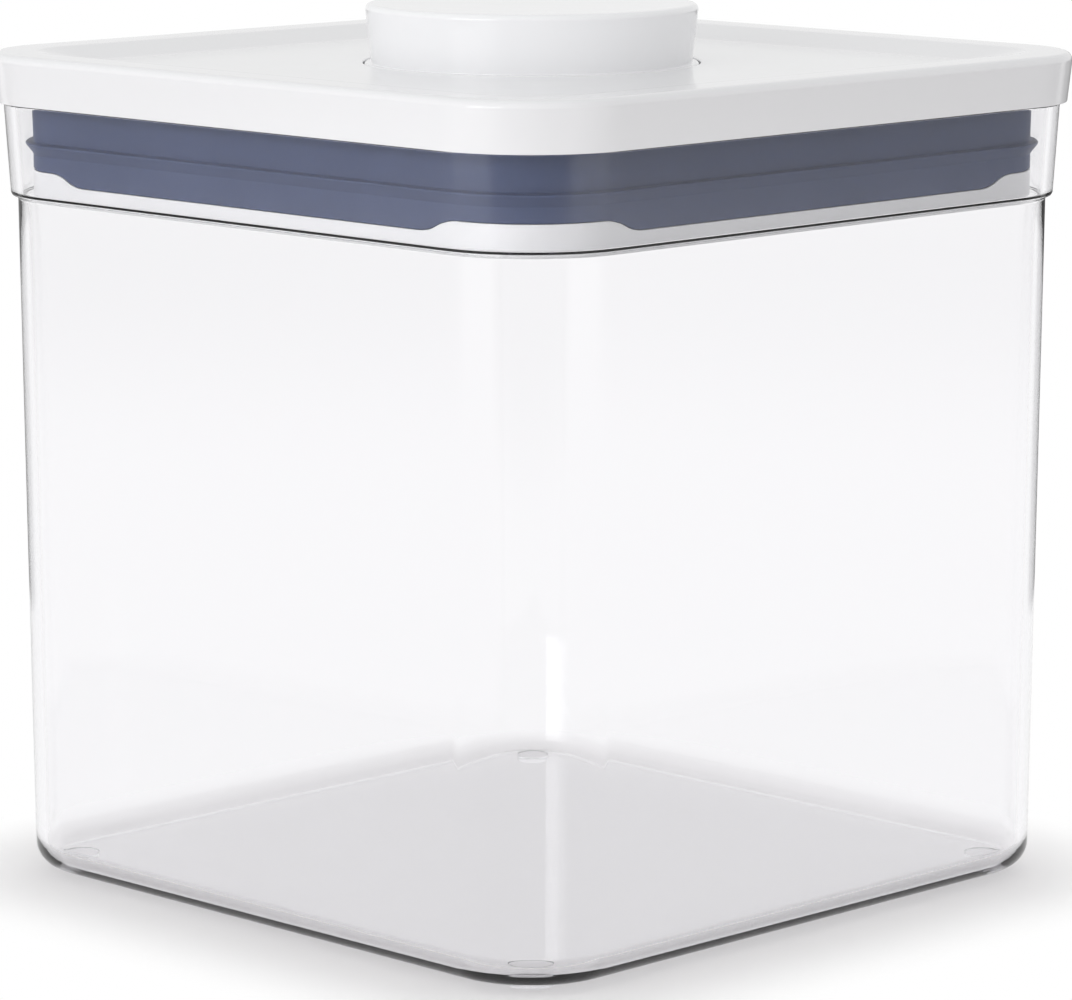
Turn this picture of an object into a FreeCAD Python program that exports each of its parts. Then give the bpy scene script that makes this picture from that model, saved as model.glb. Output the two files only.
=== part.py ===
import FreeCAD, Part
import math
import os
import re
import Sketcher
from FreeCAD import Placement, Rotation, Vector

# Square storage canister with a push-button lid, in millimetres.
# +Z is up, the origin is under the middle of the feet, and the lid stands with its seal released.

SIZES = [
    # Container
    ("foot_height", 1.2),
    ("foot_inset", 3.6),
    ("foot_length", 5.2),
    ("foot_width", 4.6),
    ("base_corner", 19.4),
    ("body_height", 133.7),
    ("body_draft", 1.4),
    ("step_depth", 1.35),
    ("collar_height", 18.0),
    ("collar_draft", 1.1),
    ("wall", 2.2),
    ("floor_wall", 2.6),
    ("floor_inset", 9.0),
    ("ledge_rise", 0.8),
    ("base_round", 5.0),
    ("floor_round", 3.2),
    ("step_bevel", 0.5),
    ("rim_bevel", 0.6),
    # Lid cover
    ("seat_gap", 0.25),
    ("lid_width", 160.0),
    ("lid_overhang", 1.4),
    ("lid_height", 9.35),
    ("lid_taper", 0.85),
    ("crest_round", 1.6),
    ("rim_width", 9.0),
    ("slope_run", 10.0),
    ("tray_depth", 2.1),
    ("tray_corner", 3.5),
    ("top_wall", 2.2),
    ("skirt_wall", 2.4),
    ("hole_gap", 0.45),
    ("hole_bevel", 0.6),
    ("ring_drop", 1.5),
    ("ring_wall", 2.0),
    ("corner_pin_inset", 13.2),
    ("corner_pin_width", 6.0),
    ("corner_pin_gap", 1.5),
    ("corner_boss_wall", 2.0),
    ("corner_boss_length", 11.0),
    ("push_fit", 0.05),
    # Lid base
    ("seal_room", 2.2),
    ("plug_depth", 18.95),
    ("base_floor", 2.0),
    ("base_wall", 2.0),
    ("base_bevel", 1.2),
    ("base_corner_rise", 6.0),
    ("base_side_rise", 3.7),
    ("window_margin", 0.2),
    ("window_ease", 9.0),
    ("rail_start", 28.0),
    ("rail_clear", 2.6),
    ("rail_height", 4.0),
    ("rail_wall", 1.6),
    # Seal gasket
    ("gasket_wall", 2.4),
    ("gasket_fit", 0.05),
    ("lip_rise", 9.0),
    ("lip_height", 2.0),
    ("lip_edge", 0.4),
    ("lip_reach", 1.5),
    # Push button
    ("button_width", 64.0),
    ("button_flare", 1.0),
    ("button_height", 9.2),
    ("button_round", 1.2),
    ("button_wall", 2.0),
    ("button_roof", 2.4),
    ("button_travel", 9.5),
    ("button_gap", 0.1),
    ("flange_overlap", 1.65),
    ("flange_height", 1.6),
    # Button plunger
    ("crown_height", 2.0),
    ("wedge_width", 22.0),
    ("wedge_clear", 0.5),
    ("wedge_wall", 2.6),
    ("pin_clear", 2.5),
    ("guide_wall", 1.8),
    ("guide_clear", 1.0),
    ("guide_gap", 0.57),
    ("slide_fit", 0.08),
    # Return spring
    ("spring_clear", 1.0),
    ("spring_wire", 1.2),
    ("spring_turns", 4),
    ("spring_end_pitch", 2.4),
    # Seal pushers
    ("pusher_throw", 1.6),
    ("pusher_width", 14.0),
    ("pusher_rise", 0.2),
    ("pusher_gap", 0.1),
    ("rail_fit", 0.2),
    ("stem_clear", 2.3),
    ("post_depth", 6.5),
    ("plate_margin", 4.4),
    ("plate_wall", 2.0),
    ("plate_clear", 0.9),
    ("web_margin", 11.75),
    ("web_run", 16.0),
    ("web_height", 2.5),
    ("slot_lead", 6.5),
    ("slot_margin", 10.6),
    ("slot_wall", 2.0),
    # Latch
    ("latch_side_gap", 0.7),
    ("latch_clear", 0.95),
    ("latch_width", 9.6),
    ("latch_wall", 3.0),
    ("latch_wire_width", 1.5),
    ("latch_gap", 0.55),
    ("latch_bend", 1.4),
    ("latch_arm", 11.0),
    ("latch_swing", 2.5),
    ("track_depth", 1.6),
    ("track_fit", 0.25),
    ("track_over", 2.0),
    ("track_end_gap", 0.2),
    ("track_foot", 2.0),
    ("island_fit", 1.1),
    ("pivot_rise", 4.0),
    ("pivot_wall", 1.9),
    ("pivot_length", 3.2),
    ("pivot_gap", 1.6),
]

# Chords in each round corner of an outline, and sides of each wire's section
ROUND_CHORDS = 3
SPRING_SIDES = 6
LATCH_SIDES = 6

doc = FreeCAD.newDocument("storage_container")
sheet = doc.addObject("Spreadsheet::Sheet", "sizes")
for row, (alias, number) in enumerate(SIZES, start=1):
    sheet.set(f"A{row}", alias)
    sheet.set(f"B{row}", str(number))
    sheet.setAlias(f"B{row}", alias)
doc.recompute()

ALIASES = re.compile(r"\b(" + "|".join(alias for alias, _ in SIZES) + r")\b")

# Levels that several pieces share, as sums of sizes
COLLAR_TOP = "body_height + collar_height"
SKIRT_LOW = COLLAR_TOP + " + seat_gap"
LID_TOP = SKIRT_LOW + " + lid_height"
TRAY_TOP = LID_TOP + " - tray_depth"
PLATE_LOW = TRAY_TOP + " - top_wall"
RING_LOW = SKIRT_LOW + " - ring_drop"
BASE_LOW = SKIRT_LOW + " - plug_depth"
BASE_FLOOR = BASE_LOW + " + base_floor"
BASE_SIDE_TOP = BASE_LOW + " + base_side_rise"
BASE_CORNER_TOP = BASE_LOW + " + base_corner_rise"
BUTTON_TOP = LID_TOP + " + button_height"
ROOF_LOW = BUTTON_TOP + " - button_roof"
FLANGE_TOP = PLATE_LOW + " - button_gap"
FLANGE_LOW = FLANGE_TOP + " - flange_height"
CROWN_TOP = ROOF_LOW + " - push_fit"
CROWN_LOW = CROWN_TOP + " - crown_height"
WEDGE_LOW = BASE_FLOOR + " + button_travel + wedge_clear"
PIN_LOW = BASE_FLOOR + " + button_travel + pin_clear"
GUIDE_TOP = CROWN_LOW + " - button_travel - guide_clear"
STEM_LOW = BASE_FLOOR + " + pusher_rise"
STEM_TOP = FLANGE_LOW + " - button_travel - stem_clear"
POST_TOP = CROWN_LOW + " - button_travel - wedge_clear"
PIVOT = BASE_FLOOR + " + pivot_rise"
TIP = PIVOT + " + latch_arm"

# Widths that follow from the lid's, from the outside in
COLLAR_TOP_WIDTH = "(lid_width - 2 * lid_overhang)"
COLLAR_BASE_WIDTH = f"({COLLAR_TOP_WIDTH} - 2 * collar_draft)"
SHOULDER_WIDTH = f"({COLLAR_BASE_WIDTH} - 2 * step_depth)"
BASE_WIDTH = f"({SHOULDER_WIDTH} - 2 * body_draft)"
LID_CORNER = "(tray_corner + rim_width + slope_run)"
PLUG_WIDTH = f"({COLLAR_BASE_WIDTH} - 2 * wall - 2 * seal_room)"
PLUG_CORNER = "(base_corner + body_draft + step_depth - wall - seal_room)"
GASKET_INNER = f"({PLUG_WIDTH} - 2 * gasket_wall)"
CORNER_PIN = f"({GASKET_INNER} / 2 - corner_pin_inset)"
WINDOW_HALF = f"({PLUG_WIDTH} / 2 - {PLUG_CORNER} - window_ease - window_margin)"

# Widths that follow from the button's
BUTTON_NECK = "(button_width - 2 * button_flare)"
BUTTON_BORE = f"({BUTTON_NECK} - 2 * button_wall)"
HOLE_WIDTH = "(button_width + 2 * hole_gap)"
FLANGE_WIDTH = f"({HOLE_WIDTH} + 2 * flange_overlap)"

# Widths that follow from the wedge's; the square guide and its pin stand inside the round spring
LEAN = "(pusher_throw / button_travel)"
WEDGE_TOP_HALF = f"(wedge_width / 2 + ({CROWN_LOW} - ({WEDGE_LOW})) * {LEAN})"
WEDGE_BORE = "(wedge_width - 2 * wedge_wall)"
SPRING_WIDTH = f"({WEDGE_BORE} - 2 * spring_clear - spring_wire)"
GUIDE_WIDTH = f"(({SPRING_WIDTH} - spring_wire - 2 * guide_gap) / sqrt(2))"
GUIDE_BORE = f"({GUIDE_WIDTH} - 2 * guide_wall)"
POST_REACH = "(wedge_width / 2 + post_depth)"

# Pusher plates stand inside the gasket
PLATE_OUTER = f"({GASKET_INNER} / 2 - pusher_gap)"
PLATE_INNER = f"({PLATE_OUTER} - plate_wall)"
PLATE_HALF = f"({WINDOW_HALF} - plate_margin)"
WEB_START = f"({PLATE_INNER} - web_run)"

# The latch stands beside the wedge and clear of the nearest pusher
LATCH_X = "((pusher_width + latch_width) / 2 + latch_side_gap)"
LATCH_FACE = f"({WEDGE_TOP_HALF} + latch_clear + latch_wall)"
WIRE_Y = f"({LATCH_FACE} + latch_wire_width / 2 + latch_gap)"
TRACK_HALF = "(latch_wire_width / 2 + track_fit)"


def bound(text):
    """Expression text with every size name pointed at the sheet."""
    return ALIASES.sub(r"sizes.\1", text)


def amount(text):
    """Number that an expression text comes to."""
    return float(sheet.evalExpression(bound(text)))


def span(high, low):
    """Expression text for the distance between two levels."""
    return f"({high}) - ({low})"


def new_body(name):
    body = doc.addObject("PartDesign::Body", name)
    body.Label = name
    return body


def attach(feature, body, role):
    """Feature laid on one of the body's own planes."""
    plane = next(item for item in body.Origin.OriginFeatures if item.Role == role)
    feature.AttachmentSupport = [(plane, "")]
    feature.MapMode = "FlatFace"


def new_sketch(body, name, role, offset=None, turn=0.0):
    """Sketch on one of the body's own planes, moved along its normal and turned about it."""
    sketch = body.newObject("Sketcher::SketchObject", name)
    attach(sketch, body, role)
    if turn:
        sketch.AttachmentOffset = Placement(Vector(0, 0, 0), Rotation(Vector(0, 0, 1), turn))
    if offset:
        sketch.setExpression("AttachmentOffset.Base.z", bound(offset))
    return sketch


def dimension(sketch, kind, ends, text):
    """Driving dimension whose value follows the expression text."""
    index = sketch.addConstraint(Sketcher.Constraint(kind, *ends, amount(text)))
    name = f"size{index}"
    sketch.renameConstraint(index, name)
    sketch.setExpression(f"Constraints.{name}", bound(text))


def add_rounded_square(sketch, width, corner):
    """Square loop about the sketch's origin with four equal round corners."""
    first = sketch.GeometryCount
    half = amount(width) / 2
    round_size = amount(corner)
    flat = half - round_size
    ends = [(-flat, -half, flat, -half), (half, -flat, half, flat),
            (flat, half, -flat, half), (-half, flat, -half, -flat)]
    centres = [(flat, -flat), (flat, flat), (-flat, flat), (-flat, -flat)]
    for side in range(4):
        x0, y0, x1, y1 = ends[side]
        sketch.addGeometry(Part.LineSegment(Vector(x0, y0, 0), Vector(x1, y1, 0)), False)
        circle = Part.Circle(Vector(*centres[side], 0), Vector(0, 0, 1), round_size)
        begin = (side - 1) * math.pi / 2
        sketch.addGeometry(Part.ArcOfCircle(circle, begin, begin + math.pi / 2), False)
    rules = [Sketcher.Constraint("Tangent", first + i, 2, first + (i + 1) % 8, 1) for i in range(8)]
    rules += [Sketcher.Constraint("Horizontal", first + i) for i in (0, 4)]
    rules += [Sketcher.Constraint("Vertical", first + i) for i in (2, 6)]
    rules += [Sketcher.Constraint("Equal", first + 1, first + i) for i in (3, 5, 7)]
    rules.append(Sketcher.Constraint("Symmetric", first, 1, first + 4, 1, -1, 1))
    sketch.addConstraint(rules)
    dimension(sketch, "DistanceY", (first, 1, first + 4, 2), width)
    dimension(sketch, "DistanceX", (first + 6, 1, first + 2, 2), width)
    dimension(sketch, "Radius", (first + 1,), corner)


def rounded_square(body, name, level, width, corner):
    sketch = new_sketch(body, name, "XY_Plane", level)
    add_rounded_square(sketch, width, corner)
    return sketch


def add_square(sketch, width, x="0", y="0"):
    half = f"({width}) / 2"
    add_outline(sketch, box_points(f"{x} - {half}", f"{x} + {half}", f"{y} - {half}", f"{y} + {half}"))


def add_circle(sketch, diameter, x="0", y="0"):
    centre = Vector(amount(x), amount(y), 0)
    index = sketch.addGeometry(Part.Circle(centre, Vector(0, 0, 1), amount(diameter) / 2), False)
    dimension(sketch, "Diameter", (index,), diameter)
    dimension(sketch, "DistanceX", (-1, 1, index, 3), x)
    dimension(sketch, "DistanceY", (-1, 1, index, 3), y)


def add_outline(sketch, points):
    """Closed loop of straight lines whose corners follow pairs of expression texts."""
    first = sketch.GeometryCount
    count = len(points)
    corners = [Vector(amount(x), amount(y), 0) for x, y in points]
    for i in range(count):
        sketch.addGeometry(Part.LineSegment(corners[i], corners[(i + 1) % count]), False)
    joins = [Sketcher.Constraint("Coincident", first + i, 2, first + (i + 1) % count, 1) for i in range(count)]
    sketch.addConstraint(joins)
    for i, (x, y) in enumerate(points):
        dimension(sketch, "DistanceX", (-1, 1, first + i, 1), x)
        dimension(sketch, "DistanceY", (-1, 1, first + i, 1), y)


def add_apron(sketch, low, high, half, ease):
    """Wide flat tongue with eased ends: it narrows from the high level to the low level."""
    height = span(high, low)
    radius = f"({ease} * {ease} + ({height}) * ({height})) / (4 * ({height}))"
    y0, y1 = amount(low), amount(high)
    x0 = amount(half)
    x1 = x0 + amount(ease)
    # Lines: low edge, high edge; arcs: lower and upper ease on each side
    for begin, end in (((-x0, y0), (x0, y0)), ((x1, y1), (-x1, y1))):
        sketch.addGeometry(Part.LineSegment(Vector(*begin, 0), Vector(*end, 0)), False)
    size = amount(radius)
    lean = math.acos(1 - (y1 - y0) / (2 * size))
    top = math.pi / 2
    bottom = 3 * top
    arcs = [
        ((x0, y0 + size), bottom, bottom + lean),
        ((x1, y1 - size), top, top + lean),
        ((-x0, y0 + size), bottom - lean, bottom),
        ((-x1, y1 - size), top - lean, top),
    ]
    for centre, begin, end in arcs:
        circle = Part.Circle(Vector(*centre, 0), Vector(0, 0, 1), size)
        sketch.addGeometry(Part.ArcOfCircle(circle, begin, end), False)
    rules = [
        Sketcher.Constraint("Horizontal", 1),
        Sketcher.Constraint("Tangent", 0, 2, 2, 1),
        Sketcher.Constraint("Tangent", 2, 2, 3, 2),
        Sketcher.Constraint("Tangent", 3, 1, 1, 1),
        Sketcher.Constraint("Tangent", 1, 2, 5, 2),
        Sketcher.Constraint("Tangent", 5, 1, 4, 1),
        Sketcher.Constraint("Tangent", 4, 2, 0, 1),
        Sketcher.Constraint("Symmetric", 0, 1, 0, 2, -2),
        Sketcher.Constraint("Equal", 2, 3),
        Sketcher.Constraint("Equal", 2, 4),
        Sketcher.Constraint("Equal", 2, 5),
    ]
    sketch.addConstraint(rules)
    dimension(sketch, "DistanceX", (-1, 1, 0, 2), half)
    dimension(sketch, "DistanceY", (-1, 1, 0, 2), low)
    dimension(sketch, "DistanceY", (0, 2, 1, 1), height)
    dimension(sketch, "Radius", (2,), radius)


def box_points(x0, x1, y0, y1):
    return [(x0, y0), (x1, y0), (x1, y1), (x0, y1)]


def arc_points(x, y, radius, begin, end):
    """Points of a round corner about a centre, from one angle to another in degrees."""
    angles = [begin + (end - begin) * step / ROUND_CHORDS for step in range(ROUND_CHORDS + 1)]
    return [(f"{x} + {radius} * cos({angle} deg)", f"{y} + {radius} * sin({angle} deg)") for angle in angles]


def add_polygon(sketch, sides, diameter, x, y):
    """Regular polygon whose corners lie on a circle."""
    radius = f"{diameter} / 2"
    angles = [360 * side / sides for side in range(sides)]
    add_outline(sketch, [(f"{x} + {radius} * cos({angle} deg)", f"{y} + {radius} * sin({angle} deg)")
                         for angle in angles])


def sweep_ring(body, name, width, corner, points):
    """Outline in the XZ plane carried round a square with round corners."""
    spine = rounded_square(body, f"{name}_path", "foot_height", width, corner)
    profile = new_sketch(body, f"{name}_profile", "XZ_Plane")
    add_outline(profile, points)
    feature = body.newObject("PartDesign::AdditivePipe", name)
    feature.Profile = profile
    feature.Spine = (spine, [])
    doc.recompute()
    return feature


def pad(body, name, sketch, length, both_ways=False):
    feature = body.newObject("PartDesign::Pad", name)
    feature.Profile = sketch
    feature.setExpression("Length", bound(length))
    if both_ways:
        feature.SideType = "Symmetric"
    doc.recompute()
    return feature


def pocket(body, name, sketch, length, upward=False):
    before = body.Tip.Shape.Volume
    feature = body.newObject("PartDesign::Pocket", name)
    feature.Profile = sketch
    feature.setExpression("Length", bound(length))
    feature.Reversed = upward
    doc.recompute()
    if before - feature.Shape.Volume < 0.5:
        raise ValueError(f"{name} on {body.Label} cuts nothing")
    return feature


def bevel_edges(body, name, size, chosen):
    """Chamfer on the edges of the body that the test picks."""
    base = body.Tip
    names = [f"Edge{i}" for i, edge in enumerate(base.Shape.Edges, start=1) if chosen(edge)]
    if not names:
        raise ValueError(f"{name} on {body.Label} finds no edge")
    feature = body.newObject("PartDesign::Chamfer", name)
    feature.Base = (base, names)
    feature.setExpression("Size", bound(size))
    doc.recompute()
    return feature


def four_ways(body, name, features):
    """The features repeated at every quarter turn about the upright axis."""
    feature = body.newObject("PartDesign::PolarPattern", name)
    feature.Originals = features
    axis = next(item for item in body.Origin.OriginFeatures if item.Role == "Z_Axis")
    feature.Axis = (axis, [""])
    feature.Angle = 360.0
    body.Tip = feature
    feature.Occurrences = 4
    doc.recompute()
    return feature


def at_level(edge, level):
    box = edge.BoundBox
    return abs(box.ZMin - level) < 0.01 and abs(box.ZMax - level) < 0.01


def make_container():
    body = new_body("container_body")
    ledge = "body_height + ledge_rise"
    inside = "foot_height + floor_wall"
    half = f"{BASE_WIDTH} / 2"
    shoulder = f"{SHOULDER_WIDTH} / 2"
    collar_base = f"{COLLAR_BASE_WIDTH} / 2"
    collar_top = f"{COLLAR_TOP_WIDTH} / 2"
    sweep_ring(body, "walls", BASE_WIDTH, "base_corner", [
        (f"{half} - floor_inset", "foot_height"),
        *arc_points(f"{half} - base_round", "foot_height + base_round", "base_round", -90, 0),
        (shoulder, "body_height"),
        (f"{collar_base} - step_bevel", "body_height"),
        (collar_base, "body_height + step_bevel"),
        (collar_top, f"{COLLAR_TOP} - rim_bevel"),
        (f"{collar_top} - rim_bevel", COLLAR_TOP),
        (f"{collar_top} - wall + rim_bevel", COLLAR_TOP),
        (f"{collar_top} - wall", f"{COLLAR_TOP} - rim_bevel"),
        (f"{collar_base} - wall", ledge),
        (f"{shoulder} - wall", ledge),
        *arc_points(f"{half} - wall - floor_round", f"{inside} + floor_round", "floor_round", 0, -90),
        (f"{half} - floor_inset", inside),
    ])
    floor = rounded_square(body, "floor_outline", "foot_height",
                           f"{BASE_WIDTH} - 2 * floor_inset", "base_corner - floor_inset")
    pad(body, "floor", floor, "floor_wall")

    # Each foot lies across a corner's diagonal, just inside the flat of the base
    foot = new_sketch(body, "foot_outline", "XY_Plane", turn=45.0)
    flat = f"({half} - base_corner) * sqrt(2) + base_corner - base_round"
    reach = f"{flat} - foot_inset - foot_width / 2"
    x = amount(reach)
    y = amount("foot_length") / 2
    size = amount("foot_width") / 2
    half_turn = math.pi
    for side, start in ((1, 0.0), (-1, half_turn)):
        circle = Part.Circle(Vector(x, y * side, 0), Vector(0, 0, 1), size)
        foot.addGeometry(Part.ArcOfCircle(circle, start, start + half_turn), False)
    foot.addGeometry(Part.LineSegment(Vector(x - size, y, 0), Vector(x - size, -y, 0)), False)
    foot.addGeometry(Part.LineSegment(Vector(x + size, -y, 0), Vector(x + size, y, 0)), False)
    foot.addConstraint([
        Sketcher.Constraint("Tangent", 0, 2, 2, 1),
        Sketcher.Constraint("Tangent", 2, 2, 1, 1),
        Sketcher.Constraint("Tangent", 1, 2, 3, 1),
        Sketcher.Constraint("Tangent", 3, 2, 0, 1),
        Sketcher.Constraint("Symmetric", 0, 3, 1, 3, -1),
    ])
    dimension(foot, "DistanceY", (1, 3, 0, 3), "foot_length")
    dimension(foot, "DistanceX", (-1, 1, 0, 3), reach)
    dimension(foot, "Radius", (0,), "foot_width / 2")
    feet = pad(body, "foot", foot, "foot_height")
    four_ways(body, "feet", [feet])
    return body


def make_cover():
    body = new_body("lid_cover")
    half = "lid_width / 2"
    skirt = f"{half} - lid_taper"
    brink = f"{half} - rim_width"
    sweep_ring(body, "rim", "lid_width", LID_CORNER, [
        (skirt, SKIRT_LOW),
        *arc_points(f"{half} - crest_round", f"{LID_TOP} - crest_round", "crest_round", 0, 90),
        (brink, LID_TOP),
        (brink + " - slope_run", TRAY_TOP),
        (brink + " - slope_run", PLATE_LOW),
        (skirt + " - skirt_wall", PLATE_LOW),
        (skirt + " - skirt_wall", SKIRT_LOW),
    ])
    plate = rounded_square(body, "plate_outline", PLATE_LOW,
                           "lid_width - 2 * rim_width - 2 * slope_run", "tray_corner")
    pad(body, "plate", plate, "top_wall")

    ring = new_sketch(body, "ring_outline", "XY_Plane", RING_LOW)
    ring_width = GASKET_INNER + " - 2 * gasket_fit"
    ring_corner = PLUG_CORNER + " - gasket_wall - gasket_fit"
    add_rounded_square(ring, ring_width, ring_corner)
    add_rounded_square(ring, ring_width + " - 2 * ring_wall", ring_corner + " - ring_wall")
    pad(body, "gasket_ring", ring, span(PLATE_LOW, RING_LOW))

    boss = new_sketch(body, "boss_outline", "XY_Plane", PLATE_LOW + " - corner_boss_length")
    bore = "corner_pin_width + 2 * push_fit"
    add_square(boss, bore + " + 2 * corner_boss_wall", CORNER_PIN, CORNER_PIN)
    add_square(boss, bore, CORNER_PIN, CORNER_PIN)
    corner_boss = pad(body, "corner_boss", boss, "corner_boss_length")
    four_ways(body, "corner_bosses", [corner_boss])

    hole = new_sketch(body, "hole_outline", "XY_Plane", TRAY_TOP)
    add_circle(hole, HOLE_WIDTH)
    pocket(body, "button_hole", hole, "top_wall")
    tray = amount(TRAY_TOP)
    bevel_edges(body, "brim_bevel", "hole_bevel", lambda edge: at_level(edge, tray) and edge.isClosed())
    return body


def make_base():
    body = new_body("lid_base")
    block = rounded_square(body, "plug_outline", BASE_LOW, PLUG_WIDTH, PLUG_CORNER)
    pad(body, "plug", block, "base_corner_rise")
    low = amount(BASE_LOW)
    bevel_edges(body, "plug_bevels", "base_bevel", lambda edge: at_level(edge, low))
    room = rounded_square(body, "room_outline", BASE_CORNER_TOP,
                          f"{PLUG_WIDTH} - 2 * base_wall", f"{PLUG_CORNER} - base_wall")
    pocket(body, "room", room, "base_corner_rise - base_floor")

    window = new_sketch(body, "window_outline", "XZ_Plane", f"{PLUG_WIDTH} / 2")
    add_apron(window, BASE_SIDE_TOP, BASE_CORNER_TOP, WINDOW_HALF, "window_ease")
    gap = pocket(body, "window", window, "base_wall")
    four_ways(body, "windows", [gap])

    guide = new_sketch(body, "guide_outline", "XY_Plane", BASE_FLOOR)
    add_square(guide, GUIDE_WIDTH)
    add_square(guide, GUIDE_BORE)
    pad(body, "guide", guide, span(GUIDE_TOP, BASE_FLOOR))

    rails = new_sketch(body, "rail_outline", "XY_Plane", BASE_FLOOR)
    near = "pusher_width / 2 + rail_fit"
    for sign in ("", "-"):
        add_outline(rails, box_points("rail_start", WEB_START + " - rail_clear",
                                      f"{sign}({near})", f"{sign}({near} + rail_wall)"))
    rail = pad(body, "rail", rails, "rail_height")
    four_ways(body, "rails", [rail])

    pin = new_sketch(body, "pin_outline", "XY_Plane", BASE_FLOOR)
    add_square(pin, "corner_pin_width", CORNER_PIN, CORNER_PIN)
    corner_pin = pad(body, "corner_pin", pin, span(PLATE_LOW, BASE_FLOOR) + " - corner_pin_gap")
    four_ways(body, "corner_pins", [corner_pin])

    block = new_sketch(body, "pivot_outline", "XY_Plane", BASE_FLOOR)
    half = "latch_wire_width / 2 + slide_fit + pivot_wall"
    near = f"{WIRE_Y} + pivot_gap"
    add_outline(block, box_points(f"{LATCH_X} - ({half})", f"{LATCH_X} + {half}",
                                  near, near + " + pivot_length"))
    pad(body, "pivot_block", block, f"pivot_rise + {half}")
    hole = new_sketch(body, "pivot_hole_outline", "XZ_Plane", f"-({near})")
    add_circle(hole, "latch_wire_width + 2 * slide_fit", LATCH_X, PIVOT)
    pocket(body, "pivot_hole", hole, "pivot_length")
    return body


def make_gasket():
    body = new_body("seal_gasket")
    corner_low = BASE_CORNER_TOP + " + gasket_fit"
    side_low = BASE_SIDE_TOP + " + gasket_fit"
    top = PLATE_LOW + " - gasket_fit"
    lip_low = BASE_LOW + " + lip_rise"
    lip_high = lip_low + " + lip_height + lip_edge"
    half = f"{PLUG_WIDTH} / 2"
    sweep_ring(body, "band", PLUG_WIDTH, PLUG_CORNER, [
        (half, corner_low),
        (half, lip_low),
        (half + " + lip_reach", lip_low + " + lip_height"),
        (half + " + lip_reach", lip_high),
        (half, lip_high),
        (half, top),
        (half + " - gasket_wall", top),
        (half + " - gasket_wall", corner_low),
    ])

    flap = new_sketch(body, "apron_outline", "XZ_Plane", half + " - gasket_wall")
    add_apron(flap, side_low, corner_low, WINDOW_HALF + " - gasket_fit", "window_ease")
    apron = pad(body, "apron", flap, "gasket_wall")
    four_ways(body, "aprons", [apron])
    return body


def make_button():
    body = new_body("push_button")
    profile = new_sketch(body, "button_profile", "XZ_Plane")
    inner = f"{BUTTON_BORE} / 2"
    add_outline(profile, [
        ("0", ROOF_LOW),
        (inner, ROOF_LOW),
        (inner, FLANGE_LOW),
        (f"{FLANGE_WIDTH} / 2", FLANGE_LOW),
        (f"{FLANGE_WIDTH} / 2", FLANGE_TOP),
        (f"{BUTTON_NECK} / 2", FLANGE_TOP),
        *arc_points("button_width / 2 - button_round", f"{BUTTON_TOP} - button_round", "button_round", 0, 90),
        ("0", BUTTON_TOP),
    ])
    turned = body.newObject("PartDesign::Revolution", "button_turned")
    turned.Profile = profile
    turned.ReferenceAxis = (profile, ["V_Axis"])
    turned.Angle = 360.0
    doc.recompute()
    return body


def make_plunger():
    body = new_body("button_plunger")
    # The wedge's own Y runs up the part, and its faces lean out by the throw over the travel
    wedge = body.newObject("PartDesign::AdditiveWedge", "wedge")
    attach(wedge, body, "XZ_Plane")
    wedge.setExpression("Ymin", bound(WEDGE_LOW))
    wedge.setExpression("Ymax", bound(CROWN_LOW))
    for side in ("X", "Z"):
        for end, half in (("", "wedge_width / 2"), ("2", WEDGE_TOP_HALF)):
            wedge.setExpression(f"{side}{end}min", bound(f"-{half}"))
            wedge.setExpression(f"{side}{end}max", bound(half))
    doc.recompute()
    bore = new_sketch(body, "bore_outline", "XY_Plane", WEDGE_LOW)
    add_square(bore, WEDGE_BORE)
    pocket(body, "bore", bore, span(CROWN_LOW, WEDGE_LOW), upward=True)
    # Square plate whose corners fit the button's round bore
    crown = new_sketch(body, "crown_outline", "XY_Plane", CROWN_LOW)
    add_square(crown, f"({BUTTON_BORE} - 2 * push_fit) / sqrt(2)")
    pad(body, "crown", crown, "crown_height")
    pin = new_sketch(body, "pin_outline", "XY_Plane", PIN_LOW)
    add_square(pin, f"{GUIDE_BORE} - 2 * slide_fit")
    pad(body, "pin", pin, span(CROWN_LOW, PIN_LOW))

    tongue = new_sketch(body, "tongue_outline", "XZ_Plane", f"-{LATCH_FACE}")
    add_outline(tongue, box_points(f"{LATCH_X} - latch_width / 2", f"{LATCH_X} + latch_width / 2",
                                   f"{TIP} - {TRACK_HALF} - track_foot", CROWN_LOW))
    pad(body, "tongue", tongue, "latch_wall")

    track = new_sketch(body, "track_outline", "XZ_Plane", f"-{LATCH_FACE}")
    half = TRACK_HALF
    side = f"latch_swing + {half}"
    down = f"{TIP} - {half}"
    up = f"{TIP} + button_travel"
    end = up + " + track_over"
    add_outline(track, [
        (f"{LATCH_X} - {half}", down),
        (f"{LATCH_X} + {half}", down),
        (f"{LATCH_X} + {half}", TIP),
        (f"{LATCH_X} + {side}", up),
        (f"{LATCH_X} + {side}", end),
        (f"{LATCH_X} - ({side})", end),
        (f"{LATCH_X} - ({side})", up),
        (f"{LATCH_X} - {half}", TIP),
    ])
    # Heart-shaped island that the wire's tip goes round
    add_outline(track, [
        (LATCH_X, f"{TIP} + button_travel * island_fit / latch_swing"),
        (f"{LATCH_X} + latch_swing - island_fit", up),
        (LATCH_X, up + " - latch_wire_width"),
        (f"{LATCH_X} - latch_swing + island_fit", up),
    ])
    pocket(body, "track", track, "track_depth", upward=True)
    return body


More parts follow.
